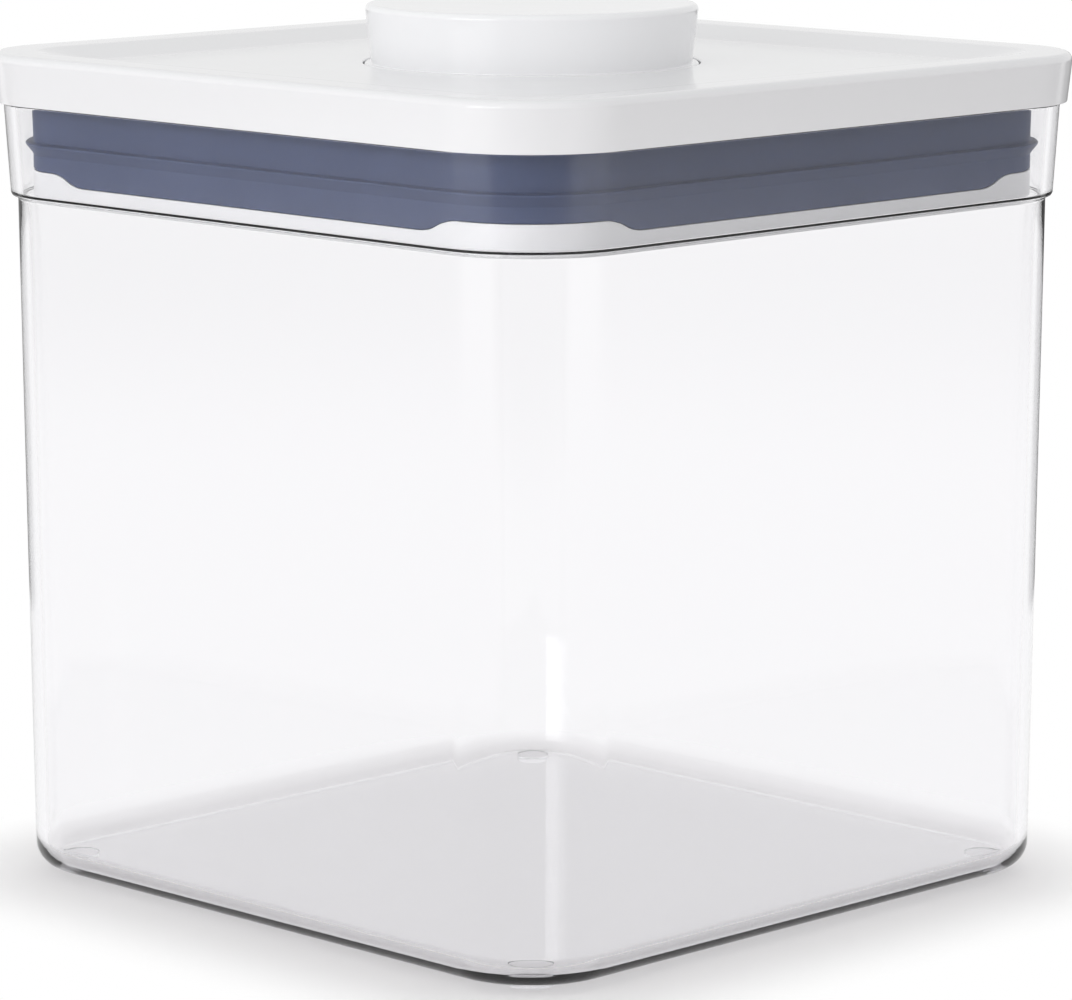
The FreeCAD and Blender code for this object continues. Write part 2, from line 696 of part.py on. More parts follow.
def make_pusher(name, turn):
    body = new_body(name)
    side = new_sketch(body, "side_profile", "XZ_Plane")
    face = "wedge_width / 2 + slide_fit"
    add_outline(side, [
        (f"{face} + ({span(STEM_LOW, WEDGE_LOW)}) * {LEAN}", STEM_LOW),
        (PLATE_INNER, STEM_LOW),
        (PLATE_INNER, STEM_TOP),
        (POST_REACH, STEM_TOP),
        (POST_REACH, POST_TOP),
        (f"{face} + ({span(POST_TOP, WEDGE_LOW)}) * {LEAN}", POST_TOP),
    ])
    pad(body, "stem", side, "pusher_width", both_ways=True)
    plate = new_sketch(body, "plate_profile", "XZ_Plane")
    add_outline(plate, box_points(PLATE_INNER, PLATE_OUTER, BASE_SIDE_TOP + " + plate_clear",
                                  RING_LOW + " - plate_clear"))
    pad(body, "plate", plate, f"2 * {PLATE_HALF}", both_ways=True)
    web = new_sketch(body, "web_outline", "XY_Plane", BASE_SIDE_TOP + " + plate_clear")
    add_outline(web, [
        (PLATE_INNER, f"-({PLATE_HALF} - web_margin)"),
        (PLATE_INNER, f"{PLATE_HALF} - web_margin"),
        (WEB_START, "pusher_width / 2"),
        (WEB_START, "-pusher_width / 2"),
    ])
    pad(body, "web", web, "web_height")
    slot = new_sketch(body, "slot_outline", "XY_Plane", STEM_TOP)
    half = "pusher_width / 2 - slot_wall"
    add_outline(slot, box_points(f"{POST_REACH} + slot_lead", f"{PLATE_INNER} - slot_margin",
                                 f"-({half})", half))
    pocket(body, "slot", slot, span(STEM_TOP, STEM_LOW) + " - slot_wall")
    body.Placement = Placement(Vector(0, 0, 0), Rotation(Vector(0, 0, 1), turn))
    return body


def make_latch_wire():
    body = new_body("latch_wire")
    path = new_sketch(body, "wire_path", "YZ_Plane", LATCH_X)
    far_end = f"{WIRE_Y} + pivot_gap + pivot_length"
    tip_end = f"{LATCH_FACE} - track_depth + track_end_gap"
    bend = amount("latch_bend")
    y0, y1, y2 = amount(far_end), amount(WIRE_Y), amount(tip_end)
    z0, z1 = amount(PIVOT), amount(TIP)
    path.addGeometry(Part.LineSegment(Vector(y0, z0, 0), Vector(y1 + bend, z0, 0)), False)
    low_circle = Part.Circle(Vector(y1 + bend, z0 + bend, 0), Vector(0, 0, 1), bend)
    path.addGeometry(Part.ArcOfCircle(low_circle, math.pi, 1.5 * math.pi), False)
    path.addGeometry(Part.LineSegment(Vector(y1, z0 + bend, 0), Vector(y1, z1 - bend, 0)), False)
    high_circle = Part.Circle(Vector(y1 - bend, z1 - bend, 0), Vector(0, 0, 1), bend)
    path.addGeometry(Part.ArcOfCircle(high_circle, 0, math.pi / 2), False)
    path.addGeometry(Part.LineSegment(Vector(y1 - bend, z1, 0), Vector(y2, z1, 0)), False)
    path.addConstraint([
        Sketcher.Constraint("Tangent", 0, 2, 1, 2),
        Sketcher.Constraint("Tangent", 1, 1, 2, 1),
        Sketcher.Constraint("Tangent", 2, 2, 3, 1),
        Sketcher.Constraint("Tangent", 3, 2, 4, 1),
        Sketcher.Constraint("Horizontal", 0),
        Sketcher.Constraint("Vertical", 2),
        Sketcher.Constraint("Horizontal", 4),
        Sketcher.Constraint("Equal", 1, 3),
    ])
    dimension(path, "DistanceX", (-1, 1, 0, 1), far_end)
    dimension(path, "DistanceY", (-1, 1, 0, 1), PIVOT)
    dimension(path, "DistanceX", (-1, 1, 2, 1), WIRE_Y)
    dimension(path, "DistanceX", (-1, 1, 4, 2), tip_end)
    dimension(path, "DistanceY", (-1, 1, 4, 2), TIP)
    dimension(path, "Radius", (1,), "latch_bend")
    end = new_sketch(body, "wire_end", "XZ_Plane", f"-({far_end})")
    add_polygon(end, LATCH_SIDES, "latch_wire_width", LATCH_X, PIVOT)
    wire = body.newObject("PartDesign::AdditivePipe", "wire")
    wire.Profile = end
    wire.Spine = (path, [])
    doc.recompute()
    return body


def arc_from(start, heading, end):
    """Arc that leaves the start along the heading and reaches the end."""
    chord = end - start
    along = Vector(chord).normalize()
    across = heading - along * heading.dot(along)
    bend = math.acos(max(-1.0, min(1.0, heading.dot(along))))
    if bend < 1e-7:
        return Part.LineSegment(start, end).toShape()
    middle = start + chord * 0.5 + across.normalize() * (chord.Length / 2 * math.tan(bend / 2))
    return Part.Arc(start, middle, end).toShape()


def make_spring():
    """Compression spring with one close turn at each end, as one tube on pairs of tangent arcs."""
    wire = amount("spring_wire")
    radius = amount(SPRING_WIDTH) / 2
    turns = int(amount("spring_turns"))
    end_pitch = amount("spring_end_pitch")
    low = amount(BASE_FLOOR) + wire / 2
    height = amount(CROWN_LOW) - wire / 2 - low
    pitch = (height - 2 * end_pitch) / (turns - 2)

    def rise(turn):
        close = min(turn, 1.0) + max(turn - turns + 1.0, 0.0)
        return low + close * end_pitch + (turn - close) * pitch

    def place(turn):
        angle = turn * math.tau
        return Vector(radius * math.cos(angle), radius * math.sin(angle), rise(turn))

    def heading(turn):
        before = max(turn - 0.01, 0.0)
        after = min(turn + 0.01, float(turns))
        climb = (rise(after) - rise(before)) / ((after - before) * math.tau)
        angle = turn * math.tau
        return Vector(-radius * math.sin(angle), radius * math.cos(angle), climb).normalize()

    edges = []
    for half_turn in range(2 * turns):
        a, b = half_turn / 2, (half_turn + 1) / 2
        start, end = place(a), place(b)
        out, back = heading(a), heading(b)
        chord = end - start
        both = out + back
        spread = 2 * (1 - out.dot(back))
        reach_out = (math.sqrt(chord.dot(both) ** 2 + spread * chord.dot(chord)) - chord.dot(both)) / spread
        join = (start + end + (out - back) * reach_out) * 0.5
        edges.append(arc_from(start, out, join))
        edges.append(arc_from(end, back * -1.0, join))
    spine = Part.Wire(Part.__sortEdges__(edges))
    along = heading(0.0)
    outward = Vector(1, 0, 0)
    upright = along.cross(outward)
    corners = []
    for corner in range(SPRING_SIDES + 1):
        angle = math.tau * corner / SPRING_SIDES
        corners.append(place(0.0) + (outward * math.cos(angle) + upright * math.sin(angle)) * (wire / 2))
    section = Part.makePolygon(corners)
    spring = doc.addObject("Part::Feature", "return_spring")
    spring.Label = "return_spring"
    spring.Shape = spine.makePipeShell([section], True, False)
    spring.Placement = Placement(Vector(0, 0, 0), Rotation())

    points = [place(step / 48) for step in range(48 * turns + 1)]
    gaps = [(points[i] - points[j]).Length for i in range(len(points)) for j in range(i + 36, len(points), 1)]
    print(f"return_spring least gap to itself {min(gaps) - wire:.2f} mm")
    return spring


pieces = [
    make_container(),
    make_cover(),
    make_base(),
    make_gasket(),
    make_button(),
    make_plunger(),
    make_spring(),
    make_latch_wire(),
]
for label, quarter_turn in (("right", 0.0), ("back", 90.0), ("left", 180.0), ("front", 270.0)):
    pieces.append(make_pusher(f"seal_pusher_{label}", quarter_turn))
doc.recompute()

for item in doc.Objects:
    if {"Invalid", "Error"} & set(item.State):
        raise ValueError(f"{item.Label} did not build: {item.State}")

os.makedirs("parts", exist_ok=True)
for piece in pieces:
    shape = piece.Shape
    if shape.isNull() or not shape.isValid() or len(shape.Solids) != 1:
        raise ValueError(f"{piece.Label} is not one good solid")
    shape.exportStep(f"parts/{piece.Label}.step")
    box = shape.optimalBoundingBox(True, False)
    print(f"{piece.Label:20s} {shape.Volume / 1000:9.3f} cm3  x {box.XMin:.2f} {box.XMax:.2f}"
          f"  y {box.YMin:.2f} {box.YMax:.2f}  z {box.ZMin:.2f} {box.ZMax:.2f}")
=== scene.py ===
"""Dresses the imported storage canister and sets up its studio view.

Sections of walls are lists of stations in millimetres; everything given to Blender is in metres.
"""

import math

import bmesh
import bpy
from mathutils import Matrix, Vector


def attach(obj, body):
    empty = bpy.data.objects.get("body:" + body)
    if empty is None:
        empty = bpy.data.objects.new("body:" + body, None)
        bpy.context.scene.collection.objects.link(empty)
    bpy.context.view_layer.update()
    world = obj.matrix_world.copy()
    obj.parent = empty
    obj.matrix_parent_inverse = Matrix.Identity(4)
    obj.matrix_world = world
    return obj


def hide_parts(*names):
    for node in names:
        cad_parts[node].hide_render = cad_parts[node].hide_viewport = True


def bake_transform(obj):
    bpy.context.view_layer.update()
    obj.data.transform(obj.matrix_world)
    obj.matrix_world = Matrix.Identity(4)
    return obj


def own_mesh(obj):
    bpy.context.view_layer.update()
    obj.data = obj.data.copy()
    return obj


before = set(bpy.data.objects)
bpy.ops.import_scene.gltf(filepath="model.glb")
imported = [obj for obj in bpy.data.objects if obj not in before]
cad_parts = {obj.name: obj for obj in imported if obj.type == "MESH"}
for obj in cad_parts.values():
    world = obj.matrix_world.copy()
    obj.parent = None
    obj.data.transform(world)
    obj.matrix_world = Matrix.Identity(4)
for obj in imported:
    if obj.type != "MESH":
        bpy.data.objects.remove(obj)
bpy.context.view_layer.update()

MM = 0.001
MERGE_DISTANCE = 1e-6

# Places of the corner rounds' centres, from the upright axis
CANISTER_CENTRE = 55.35
LID_CENTRE = 57.5
CORNER_STEPS = 14

# Angles in degrees past which an edge stays sharp
SHARP_PLASTIC = 40
SHARP_SILICONE = 50
SHARP_WIRE = 60

# Underside of the canister
BASE_HALF = 69.2
BASE_LEVEL = 1.2
FOOT_REACH = 88.1
FOOT_RADIUS = 3.6
FOOT_STRETCH = 0.6
FOOT_STEPS = 30
FOOT_DROPS = ((0.95, 1.0), (0.18, 0.97), (0.07, 0.9))

# Lid cover and button
SKIRT_HALF = 78.95
SKIRT_LEVEL = 151.74
SKIRT_CUTS = 27
BUTTON_STEPS = 128
HOLLOW_RADIUS = 29.0
HOLLOW_TOP = 168.1

# Gasket: its outer wall, how far the lip is drawn in, and where its sides start to bend
GASKET_HALF = 73.1
GASKET_FOOT_HALF = 72.85
GASKET_CUTS = 59
LIP_DRAW = 0.19
SPLIT = 53.0 * MM
FULL_TRAVEL = 42.0 * MM
SIDES = {
    "right": Vector((1, 0, 0)),
    "back": Vector((0, 1, 0)),
    "left": Vector((-1, 0, 0)),
    "front": Vector((0, -1, 0)),
}

HIDDEN_NODES = (
    "button_plunger", "seal_pusher_front", "seal_pusher_right", "seal_pusher_back", "seal_pusher_left",
)

# Studio: light of the sky, and the floor's soft square of shade in metres
SKY_LIGHT = 0.745
FLOOR_SIZE = 12.0
FLOOR_COLOUR = (0.94, 0.925, 0.928)
SHADE_SQUARE = (0.05, 0.05, 0.0)
SHADE_BEGIN = 0.022
SHADE_END = 0.056
SHADE_WHITE = 0.15

# Flags: name, place, size, strength, and the share of the height in which the foot fades
FLAGS = (
    ("left flag", (-0.33, -0.33, 0.1), (0.6, 0.2), 0.15, 0.38),
    ("right flag", (0.33, 0.33, 0.1), (0.6, 0.2), 0.25, 0.38),
    ("front flag", (0.29, -0.29, 0.1), (0.6, 0.2), 0.0, 0.38),
    ("back flag", (-0.5, 0.5, 0.3), (1.2, 0.6), 0.92, 0.13),
    ("left card", (-0.299, 0.026, 0.09), (0.26, 0.18), 0.35, 0.05),
    ("right card", (-0.026, 0.299, 0.09), (0.26, 0.18), 0.15, 0.05),
)
FLAG_SIDE_FADE = 0.2
FLAG_TOP_FADE = 0.8
FLAG_FOOT_BARE = 0.15

LENS = 171.9
SENSOR = 36.0
EYE = Vector((0.697118, -0.694469, 0.243344))
AIM = Vector((0.00058, 0.00058, 0.0736))


def clear_selection():
    if bpy.context.mode != "OBJECT":
        bpy.ops.object.mode_set(mode="OBJECT")
    bpy.ops.object.select_all(action="DESELECT")


def select_only(piece):
    clear_selection()
    bpy.context.view_layer.objects.active = piece
    piece.select_set(True)


def edit_whole(piece):
    """Opens a piece in edit mode with all of it selected."""
    select_only(piece)
    bpy.ops.object.mode_set(mode="EDIT")
    bpy.ops.mesh.select_all(action="SELECT")


def edit_bare(piece, kind):
    """Opens a piece in edit mode with nothing selected, to pick faces or edges."""
    select_only(piece)
    bpy.ops.object.mode_set(mode="EDIT")
    bpy.ops.mesh.select_mode(type=kind)
    bpy.ops.mesh.select_all(action="DESELECT")


def named_piece(name):
    """The object that was just added, under its name."""
    piece = bpy.context.object
    piece.name = name
    piece.data.name = name
    return piece


def turn_of(vert):
    """Angle of a vertex round the upright axis, from just below zero upwards."""
    return (math.atan2(vert.co.y, vert.co.x) + 0.001) % math.tau


class LoopWalk:
    """A loop round the upright axis that is extruded from station to station, in millimetres."""

    def __init__(self, name, half, centre, level, cuts=0):
        corner = half - centre
        clear_selection()
        bpy.ops.mesh.primitive_plane_add(size=2 * half * MM)
        self.piece = named_piece(name)
        self.centre = half - corner
        bpy.ops.object.mode_set(mode="EDIT")
        bpy.ops.mesh.select_all(action="SELECT")
        bpy.ops.mesh.bevel(
            affect="VERTICES", offset=corner * MM, segments=CORNER_STEPS, profile=0.5)
        bpy.ops.mesh.select_all(action="SELECT")
        bpy.ops.mesh.delete(type="ONLY_FACE")
        if cuts:
            self.cut_sides(cuts)
        bpy.ops.mesh.select_all(action="SELECT")
        self.learn(corner)
        self.place(half, level, corner)

    def cut_sides(self, cuts):
        """Cuts the four straight sides, which are the longest edges."""
        bpy.ops.mesh.select_all(action="DESELECT")
        bpy.ops.mesh.select_mode(type="EDGE")
        mesh = bmesh.from_edit_mesh(self.piece.data)
        longest = max(edge.calc_length() for edge in mesh.edges)
        for edge in mesh.edges:
            edge.select_set(edge.calc_length() > 0.9 * longest)
        bmesh.update_edit_mesh(self.piece.data)
        bpy.ops.mesh.subdivide(number_cuts=cuts)

    def ring(self):
        """Vertices of the loop that is selected, in order round the axis."""
        self.mesh = bmesh.from_edit_mesh(self.piece.data)
        return sorted((vert for vert in self.mesh.verts if vert.select), key=turn_of)

    def learn(self, corner):
        """Keeps each vertex's share of the straight side and of the round corner."""
        self.shares = []
        reach = self.centre * MM
        for vert in self.ring():
            side = [max(-reach, min(reach, value)) for value in vert.co.xy]
            bend = [(value - flat) / (corner * MM) for value, flat in zip(vert.co.xy, side)]
            self.shares.append(([flat / reach for flat in side], bend))

    def place(self, half, level, corner):
        flat = half - corner
        for vert, (side, bend) in zip(self.ring(), self.shares):
            vert.co.x = (side[0] * flat + bend[0] * corner) * MM
            vert.co.y = (side[1] * flat + bend[1] * corner) * MM
            height = level(vert.co.x / MM, vert.co.y / MM) if callable(level) else level
            vert.co.z = height * MM
        bmesh.update_edit_mesh(self.piece.data)

    def follow(self, stations, centre=None):
        """Extrudes the loop along half widths and levels, with its corners round the centre."""
        for half, level in stations:
            bpy.ops.mesh.extrude_edges_indiv()
            self.place(half, level, half - (self.centre if centre is None else centre))

    def follow_circles(self, stations):
        """Extrudes the loop along radii and levels, as circles."""
        for radius, level in stations:
            bpy.ops.mesh.extrude_edges_indiv()
            for vert in self.ring():
                stretch = radius * MM / vert.co.xy.length
                vert.co.x *= stretch
                vert.co.y *= stretch
                vert.co.z = level * MM
            bmesh.update_edit_mesh(self.piece.data)

    def close(self):
        bpy.ops.mesh.edge_face_add()


def arc(x, z, radius, begin, end, steps):
    """Points of a round in a wall's section, from one angle to another in degrees."""
    points = []
    for step in range(steps + 1):
        angle = math.radians(begin + (end - begin) * step / steps)
        points.append((x + radius * math.cos(angle), z + radius * math.sin(angle)))
    return points


def apply_modifier(piece, kind, **settings):
    select_only(piece)
    modifier = piece.modifiers.new(kind.title(), kind)
    for key, value in settings.items():
        setattr(modifier, key, value)
    bpy.ops.object.modifier_apply(modifier=modifier.name)


def close_mesh(piece):
    """Merges doubles and turns the faces outwards."""
    edit_whole(piece)
    bpy.ops.mesh.remove_doubles(threshold=MERGE_DISTANCE)
    bpy.ops.mesh.normals_make_consistent(inside=False)
    bpy.ops.object.mode_set(mode="OBJECT")


def smooth_mesh(piece, sharp):
    """Closes a mesh and shades it smooth up to the sharp angle, with flats kept flat."""
    close_mesh(piece)
    bpy.ops.object.shade_smooth_by_angle(angle=math.radians(sharp))
    apply_modifier(piece, "WEIGHTED_NORMAL", keep_sharp=True, weight=90)


def dress(piece, material):
    piece.data.materials.clear()
    piece.data.materials.append(material)


def merged_copy(node, name):
    """Copy of a CAD node with its loose triangles merged into clean faces."""
    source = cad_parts[node]
    piece = bpy.data.objects.new(name, source.data.copy())
    bpy.context.scene.collection.objects.link(piece)
    piece.data.name = name
    edit_whole(piece)
    bpy.ops.mesh.remove_doubles(threshold=MERGE_DISTANCE)
    bpy.ops.mesh.dissolve_limited(angle_limit=math.radians(0.5))
    bpy.ops.object.mode_set(mode="OBJECT")
    return piece


def ranged(nodes, links, source, low, high, begin=0.0, end=1.0, smooth=False):
    """The source between begin and end, spread from low to high."""
    node = nodes.new("ShaderNodeMapRange")
    if smooth:
        node.interpolation_type = "SMOOTHSTEP"
    node.inputs["From Min"].default_value = begin
    node.inputs["From Max"].default_value = end
    node.inputs["To Min"].default_value = low
    node.inputs["To Max"].default_value = high
    links.new(source, node.inputs["Value"])
    return node.outputs["Result"]


def maths(nodes, links, operation, first, second):
    """Result of a sum with an output and another output or a number."""
    node = nodes.new("ShaderNodeMath")
    node.operation = operation
    links.new(first, node.inputs[0])
    if isinstance(second, float):
        node.inputs[1].default_value = second
    else:
        links.new(second, node.inputs[1])
    return node.outputs["Value"]


def vector_maths(nodes, links, operation, source, second=(0.0, 0.0, 0.0)):
    node = nodes.new("ShaderNodeVectorMath")
    node.operation = operation
    node.inputs[1].default_value = second
    links.new(source, node.inputs[0])
    return node


def noise(nodes, links, vector, scale, detail):
    node = nodes.new("ShaderNodeTexNoise")
    node.inputs["Detail"].default_value = detail
    links.new(vector, node.inputs["Vector"])
    links.new(scale, node.inputs["Scale"])
    return node


def group_socket(group, name, direction, default=None):
    socket = group.interface.new_socket(
        name=name, in_out=direction, socket_type="NodeSocketFloat")
    if default is not None:
        socket.default_value = default


def moulded_skin_group():
    """Fine moulding grain as a height, and soft handling marks as a mask."""
    group = bpy.data.node_groups.new("moulded skin", "ShaderNodeTree")
    group_socket(group, "Grain Scale", "INPUT", 1400.0)
    group_socket(group, "Mark Scale", "INPUT", 28.0)
    group_socket(group, "Grain", "OUTPUT")
    group_socket(group, "Marks", "OUTPUT")
    nodes = group.nodes
    links = group.links
    inlet = nodes.new("NodeGroupInput")
    outlet = nodes.new("NodeGroupOutput")
    place = nodes.new("ShaderNodeTexCoord").outputs["Object"]
    grain = noise(nodes, links, place, inlet.outputs["Grain Scale"], 3.0)
    links.new(grain.outputs["Fac"], outlet.inputs["Grain"])
    blotch = noise(nodes, links, place, inlet.outputs["Mark Scale"], 4.0)
    blotch.inputs["Roughness"].default_value = 0.62
    blotch.inputs["Distortion"].default_value = 0.4
    marks = ranged(nodes, links, blotch.outputs["Fac"], 0.0, 1.0, 0.38, 0.68, smooth=True)
    links.new(marks, outlet.inputs["Marks"])
    return group


def rub_group():
    """Short hairline rubs in two directions, as a mask."""
    group = bpy.data.node_groups.new("hairline rubs", "ShaderNodeTree")
    group_socket(group, "Scale", "INPUT", 60.0)
    group_socket(group, "Rubs", "OUTPUT")
    nodes = group.nodes
    links = group.links
    inlet = nodes.new("NodeGroupInput")
    outlet = nodes.new("NodeGroupOutput")
    place = nodes.new("ShaderNodeTexCoord").outputs["Object"]
    masks = []
    for angle in (0.5, -0.9):
        stretch = nodes.new("ShaderNodeMapping")
        stretch.inputs["Rotation"].default_value = (angle, angle, angle)
        stretch.inputs["Scale"].default_value = (1.0, 1.0, 26.0)
        links.new(place, stretch.inputs["Vector"])
        lines = noise(nodes, links, stretch.outputs["Vector"], inlet.outputs["Scale"], 2.0)
        masks.append(ranged(nodes, links, lines.outputs["Fac"], 0.0, 1.0, 0.64, 0.72))
    links.new(maths(nodes, links, "MAXIMUM", *masks), outlet.inputs["Rubs"])
    return group


SKIN = moulded_skin_group()
RUBS = rub_group()


def new_material(name):
    material = bpy.data.materials.new(name)
    material.use_nodes = True
    shader = material.node_tree.nodes["Principled BSDF"]
    return material, material.node_tree.nodes, material.node_tree.links, shader


def place_group(nodes, group, **values):
    node = nodes.new("ShaderNodeGroup")
    node.node_tree = group
    for key, value in values.items():
        node.inputs[key.replace("_", " ")].default_value = value
    return node


def blended_colour(nodes, links, source, first, second):
    node = nodes.new("ShaderNodeMix")
    node.data_type = "RGBA"
    node.inputs["A"].default_value = (*first, 1.0)
    node.inputs["B"].default_value = (*second, 1.0)
    links.new(source, node.inputs["Factor"])
    return node.outputs["Result"]


def bumped(nodes, links, source, shader, distance, strength):
    node = nodes.new("ShaderNodeBump")
    node.inputs["Distance"].default_value = distance
    node.inputs["Strength"].default_value = strength
    links.new(source, node.inputs["Height"])
    links.new(node.outputs["Normal"], shader.inputs["Normal"])


def moulded_plastic(name, fresh, handled, gloss, matte, grain_scale, grain_depth):
    """Opaque moulded plastic whose handling marks are a little duller and greyer."""
    material, nodes, links, shader = new_material(name)
    skin = place_group(nodes, SKIN, Grain_Scale=grain_scale, Mark_Scale=22.0)
    marks = skin.outputs["Marks"]
    links.new(blended_colour(nodes, links, marks, fresh, handled), shader.inputs["Base Color"])
    links.new(ranged(nodes, links, marks, gloss, matte), shader.inputs["Roughness"])
    bumped(nodes, links, skin.outputs["Grain"], shader, distance=grain_depth, strength=0.12)
    shader.inputs["IOR"].default_value = 1.49
    return material


def clear_plastic():
    """Clear plastic with fine rubs and a grey tint in its depth."""
    material, nodes, links, shader = new_material("clear plastic")
    skin = place_group(nodes, SKIN, Grain_Scale=36.0, Mark_Scale=16.0)
    rubs = place_group(nodes, RUBS, Scale=90.0)
    wear = maths(nodes, links, "MULTIPLY", skin.outputs["Marks"], rubs.outputs["Rubs"])
    links.new(ranged(nodes, links, wear, 0.012, 0.09), shader.inputs["Roughness"])
    bumped(nodes, links, skin.outputs["Grain"], shader, distance=0.00003, strength=0.15)
    shader.inputs["Base Color"].default_value = (0.99, 0.988, 0.992, 1.0)
    shader.inputs["Transmission Weight"].default_value = 1.0
    shader.inputs["IOR"].default_value = 1.5
    depth = nodes.new("ShaderNodeVolumeAbsorption")
    depth.inputs["Color"].default_value = (0.9, 0.895, 0.925, 1.0)
    depth.inputs["Density"].default_value = 70.0
    links.new(depth.outputs["Volume"], nodes["Material Output"].inputs["Volume"])
    return material


def silicone():
    """Dull blue-grey silicone with a few pale specks."""
    material, nodes, links, shader = new_material("blue-grey silicone")
    skin = place_group(nodes, SKIN, Grain_Scale=900.0, Mark_Scale=45.0)
    dust = place_group(nodes, RUBS, Scale=260.0)
    marks = skin.outputs["Marks"]
    colour = blended_colour(nodes, links, marks, (0.068, 0.088, 0.168), (0.077, 0.098, 0.183))
    specked = nodes.new("ShaderNodeMix")
    specked.data_type = "RGBA"
    specked.inputs["B"].default_value = (0.2, 0.23, 0.3, 1.0)
    links.new(ranged(nodes, links, dust.outputs["Rubs"], 0.0, 0.1), specked.inputs["Factor"])
    links.new(colour, specked.inputs["A"])
    links.new(specked.outputs["Result"], shader.inputs["Base Color"])
    links.new(ranged(nodes, links, marks, 0.44, 0.58), shader.inputs["Roughness"])
    bumped(nodes, links, skin.outputs["Grain"], shader, distance=0.00002, strength=0.12)
    shader.inputs["IOR"].default_value = 1.42
    shader.inputs["Specular IOR Level"].default_value = 0.1
    return material


def drawn_wire():
    """Bright drawn steel with fine rubs."""
    material, nodes, links, shader = new_material("drawn spring wire")
    rubs = place_group(nodes, RUBS, Scale=400.0)
    skin = place_group(nodes, SKIN, Grain_Scale=2600.0, Mark_Scale=120.0)
    marks = skin.outputs["Marks"]
    colour = blended_colour(nodes, links, marks, (0.56, 0.57, 0.59), (0.42, 0.42, 0.43))
    links.new(colour, shader.inputs["Base Color"])
    links.new(ranged(nodes, links, rubs.outputs["Rubs"], 0.26, 0.42), shader.inputs["Roughness"])
    bumped(nodes, links, skin.outputs["Grain"], shader, distance=0.00002, strength=0.4)
    shader.inputs["Metallic"].default_value = 1.0
    return material


CLEAR = clear_plastic()
WHITE = moulded_plastic(
    "white lid plastic", fresh=(0.865, 0.866, 0.88), handled=(0.858, 0.859, 0.873),
    gloss=0.1, matte=0.12, grain_scale=1500.0, grain_depth=0.000006)
# The button is the lid's white plastic painted brighter: painted light that makes up for the light its
# flared side misses.
BUTTON_WHITE_PAINTED_BRIGHTER = moulded_plastic(
    "white button plastic painted brighter", fresh=(0.94, 0.942, 0.955), handled=(0.932, 0.934, 0.947),
    gloss=0.1, matte=0.13, grain_scale=1500.0, grain_depth=0.000006)
BASE_WHITE = moulded_plastic(
    "white base plastic", fresh=(0.86, 0.862, 0.872), handled=(0.83, 0.832, 0.845),
    gloss=0.3, matte=0.42, grain_scale=1300.0, grain_depth=0.00004)
INNER = moulded_plastic(
    "inner plastic", fresh=(0.74, 0.75, 0.76), handled=(0.69, 0.7, 0.71),
    gloss=0.42, matte=0.56, grain_scale=900.0, grain_depth=0.00005)
SILICONE = silicone()
WIRE = drawn_wire()


def build_canister():
    """Clear canister: rounded base, drafted walls, step, collar, rim, inner ledge and floor."""
    walk = LoopWalk("canister", BASE_HALF, CANISTER_CENTRE, BASE_LEVEL)
    base_round = arc(69.75, 6.2, 5.0, -90, 0, 8)
    step = [
        (76.13, 132.9), (76.2, 133.4), (76.42, 133.68),
        (76.95, 133.74), (77.32, 133.92), (77.5, 134.3),
    ]
    rim = arc(78.2, 151.3, 0.4, 0, 90, 3) + arc(76.8, 151.3, 0.4, 90, 180, 3)
    ledge = [
        (75.34, 134.7), (75.27, 134.45), (75.1, 134.28),
        (74.9, 134.18), (74.76, 134.02), (74.68, 133.7),
    ]
    taper = [
        (74.6, 132.6), (74.36, 130.0), (74.16, 127.0),
        (73.99, 123.5), (73.86, 119.5), (73.76, 115.0),
    ]
    floor_round = arc(69.35, 7.0, 3.2, 0, -90, 6) + [(65.75, 3.8)]
    walk.follow(base_round + step + rim + ledge + taper + floor_round)
    walk.close()
    add_feet(walk.piece)
    smooth_mesh(walk.piece, SHARP_PLASTIC)
    dress(walk.piece, CLEAR)
    walk.piece.visible_shadow = False
    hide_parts("container_body")
    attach(walk.piece, "container")


def add_feet(piece):
    """Four rounded feet in the corners, and the flat of the base round them."""
    reach = FOOT_REACH * math.sqrt(0.5) * MM
    for quarter in range(4):
        angle = math.radians(45 + 90 * quarter)
        sign_x = math.copysign(1, math.cos(angle))
        sign_y = math.copysign(1, math.sin(angle))
        along = Vector((-sign_y, sign_x, 0)).normalized()
        middle = Vector((reach * sign_x, reach * sign_y, BASE_LEVEL * MM))
        bpy.ops.mesh.primitive_circle_add(
            vertices=FOOT_STEPS, radius=FOOT_RADIUS * MM, fill_type="NOTHING",
            location=middle, rotation=(0, 0, angle))
        mesh = bmesh.from_edit_mesh(piece.data)
        for vert in mesh.verts:
            if vert.select:
                side = math.copysign(1, (vert.co - middle).dot(along))
                vert.co += along * side * FOOT_STRETCH * MM
        bmesh.update_edit_mesh(piece.data)
        for drop, shrink in FOOT_DROPS:
            bpy.ops.mesh.extrude_edges_indiv()
            bpy.ops.transform.translate(value=(0, 0, -drop * MM))
            mesh = bmesh.from_edit_mesh(piece.data)
            for vert in mesh.verts:
                if vert.select:
                    vert.co.x = middle.x + (vert.co.x - middle.x) * shrink
                    vert.co.y = middle.y + (vert.co.y - middle.y) * shrink
            bmesh.update_edit_mesh(piece.data)
        bpy.ops.mesh.edge_face_add()
    bpy.ops.mesh.select_all(action="DESELECT")
    mesh = bmesh.from_edit_mesh(piece.data)
    for edge in mesh.edges:
        edge.select_set(len(edge.link_faces) == 1)
    bmesh.update_edit_mesh(piece.data)
    bpy.ops.mesh.fill(use_beauty=True)


